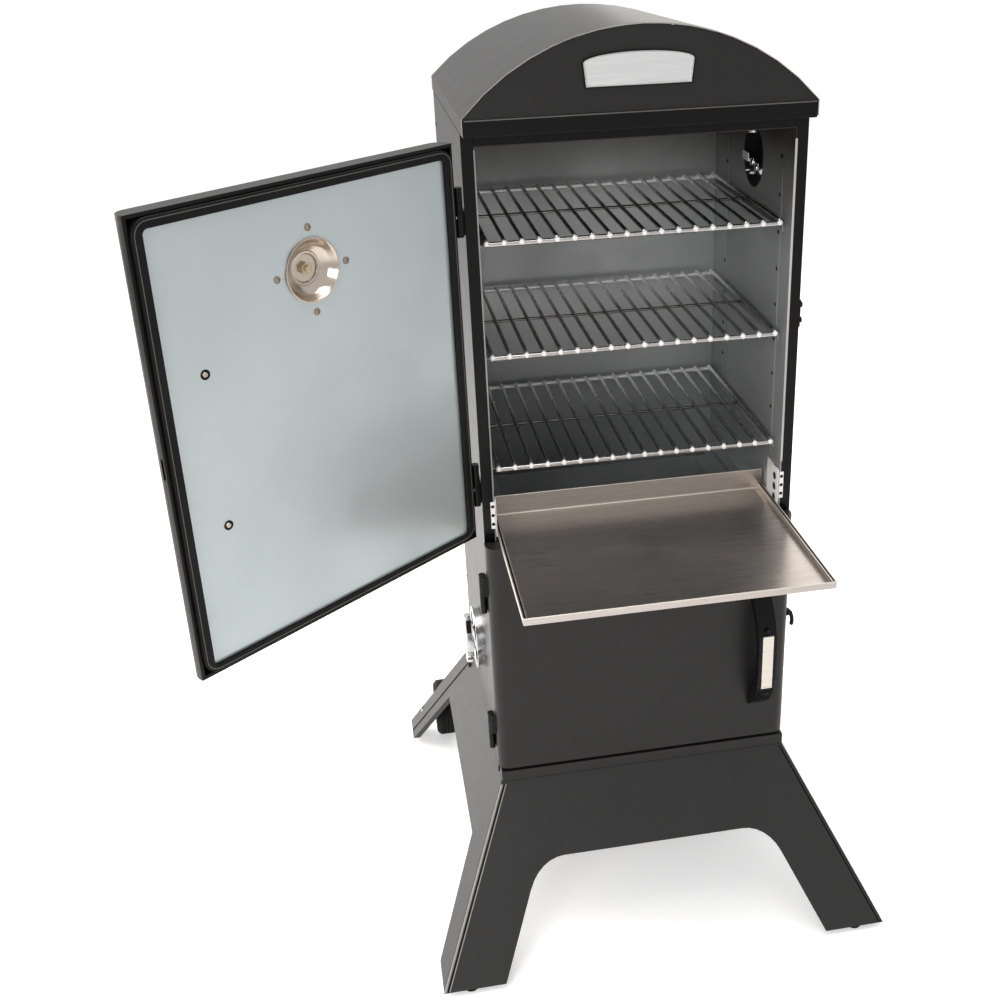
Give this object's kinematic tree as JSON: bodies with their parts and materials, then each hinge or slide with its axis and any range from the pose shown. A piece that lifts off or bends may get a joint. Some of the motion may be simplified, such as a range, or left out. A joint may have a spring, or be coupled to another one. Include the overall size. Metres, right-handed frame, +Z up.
{
  "type": "vertical cabinet smoker",
  "caption": "Upright double-walled cabinet smoker on a splayed wheeled base, with hinged chamber doors, sliding wire racks, a pull-out tray and turning dampers.",
  "frame": {"origin": "on the floor, under the middle of the bounding box at rest with the upper door open and the tray out", "axes": "+Z up, the doors face -Y, +X towards the doors' free edges"},
  "size_m": [0.8979, 0.778, 1.284],
  "materials": {
    "charcoal_paint": "satin heat-proof paint",
    "black_paint": "satin black",
    "liner_steel": "dull aluminised steel sheet",
    "door_liner": "smooth coated steel sheet",
    "brushed_steel": "brushed stainless steel",
    "chrome": "bright plating",
    "gasket": "matt black seal",
    "rubber": "matt black",
    "dial_face": "glossy pale dial"
  },
  "bodies": {
    "cabinet": {"shell_left": "charcoal_paint", "shell_right": "charcoal_paint", "shell_back": "charcoal_paint", "liner_left": "liner_steel", "liner_right": "liner_steel", "liner_back": "liner_steel", "liner_top": "liner_steel", "front_header": "charcoal_paint", "mid_rail": "charcoal_paint", "front_sill": "charcoal_paint", "floor_pan": "charcoal_paint", "hood_wrap": "charcoal_paint", "hood_front": "charcoal_paint", "hood_band": "charcoal_paint", "badge": "brushed_steel", "base_front": "charcoal_paint", "base_back": "charcoal_paint", "base_left": "charcoal_paint", "base_right": "charcoal_paint", "foot_left": "rubber", "foot_right": "rubber", "axle": "black_paint", "rack_support_left": "liner_steel", "rack_support_right": "liner_steel", "tray_runner_left": "liner_steel", "tray_runner_right": "liner_steel", "tray_bracket_left": "brushed_steel", "tray_bracket_right": "brushed_steel", "water_pan": "liner_steel", "fuel_basket": "black_paint", "ash_pan": "liner_steel", "intake_housing": "chrome", "exhaust_housing": "chrome", "upper_strike": "black_paint", "upper_hinge_top": "black_paint", "upper_hinge_bottom": "black_paint", "lower_hinge_top": "black_paint", "lower_hinge_bottom": "black_paint"},
    "upper_door": {"upper_door_shell": "charcoal_paint", "upper_door_panel": "door_liner", "upper_door_gasket": "gasket", "upper_door_handle": "black_paint", "upper_door_handle_plate": "brushed_steel", "thermometer_cup": "brushed_steel", "thermometer_dial": "dial_face"},
    "lower_door": {"lower_door_shell": "charcoal_paint", "lower_door_panel": "door_liner", "lower_door_gasket": "gasket", "lower_door_handle": "black_paint", "lower_door_handle_plate": "brushed_steel", "lower_catch": "black_paint"},
    "top_rack": {"rack_1": "chrome"},
    "middle_rack": {"rack_2": "chrome"},
    "bottom_rack": {"rack_3": "chrome"},
    "serving_tray": {"tray": "brushed_steel"},
    "left_wheel": {"wheel_left": "rubber"},
    "right_wheel": {"wheel_right": "rubber"},
    "intake_damper": {"intake_disc": "chrome"},
    "exhaust_damper": {"exhaust_disc": "chrome"}
  },
  "joints": [
    {"name": "upper_door_hinge", "type": "hinge", "parent": "cabinet", "child": "upper_door", "pos_m": [-0.10084, -0.11736, 0.9], "axis": [0, 0, -1], "range_deg": [-141.4, 25]},
    {"name": "lower_door_hinge", "type": "hinge", "parent": "cabinet", "child": "lower_door", "pos_m": [-0.10084, -0.11736, 0.43], "axis": [0, 0, -1], "range_deg": [0, 120]},
    {"name": "top_rack_slide", "type": "slide", "parent": "cabinet", "child": "top_rack", "axis": [0, -1, 0], "range_m": [0, 0.2]},
    {"name": "middle_rack_slide", "type": "slide", "parent": "cabinet", "child": "middle_rack", "axis": [0, -1, 0], "range_m": [0, 0.2]},
    {"name": "bottom_rack_slide", "type": "slide", "parent": "cabinet", "child": "bottom_rack", "axis": [0, -1, 0], "range_m": [0, 0.2]},
    {"name": "serving_tray_slide", "type": "slide", "parent": "cabinet", "child": "serving_tray", "axis": [0, 1, 0], "range_m": [0, 0.225]},
    {"name": "left_wheel_spin", "type": "hinge", "parent": "cabinet", "child": "left_wheel", "pos_m": [-0.14504, 0.33894, 0.05], "axis": [1, 0, 0], "continuous": true},
    {"name": "right_wheel_spin", "type": "hinge", "parent": "cabinet", "child": "right_wheel", "pos_m": [0.38696, 0.33894, 0.05], "axis": [1, 0, 0], "continuous": true},
    {"name": "intake_damper_turn", "type": "hinge", "parent": "cabinet", "child": "intake_damper", "pos_m": [-0.10704, 0.03294, 0.386], "axis": [-1, 0, 0], "range_deg": [0, 45]},
    {"name": "exhaust_damper_turn", "type": "hinge", "parent": "cabinet", "child": "exhaust_damper", "pos_m": [0.34896, 0.04894, 1.086], "axis": [1, 0, 0], "range_deg": [0, 45]}
  ]
}
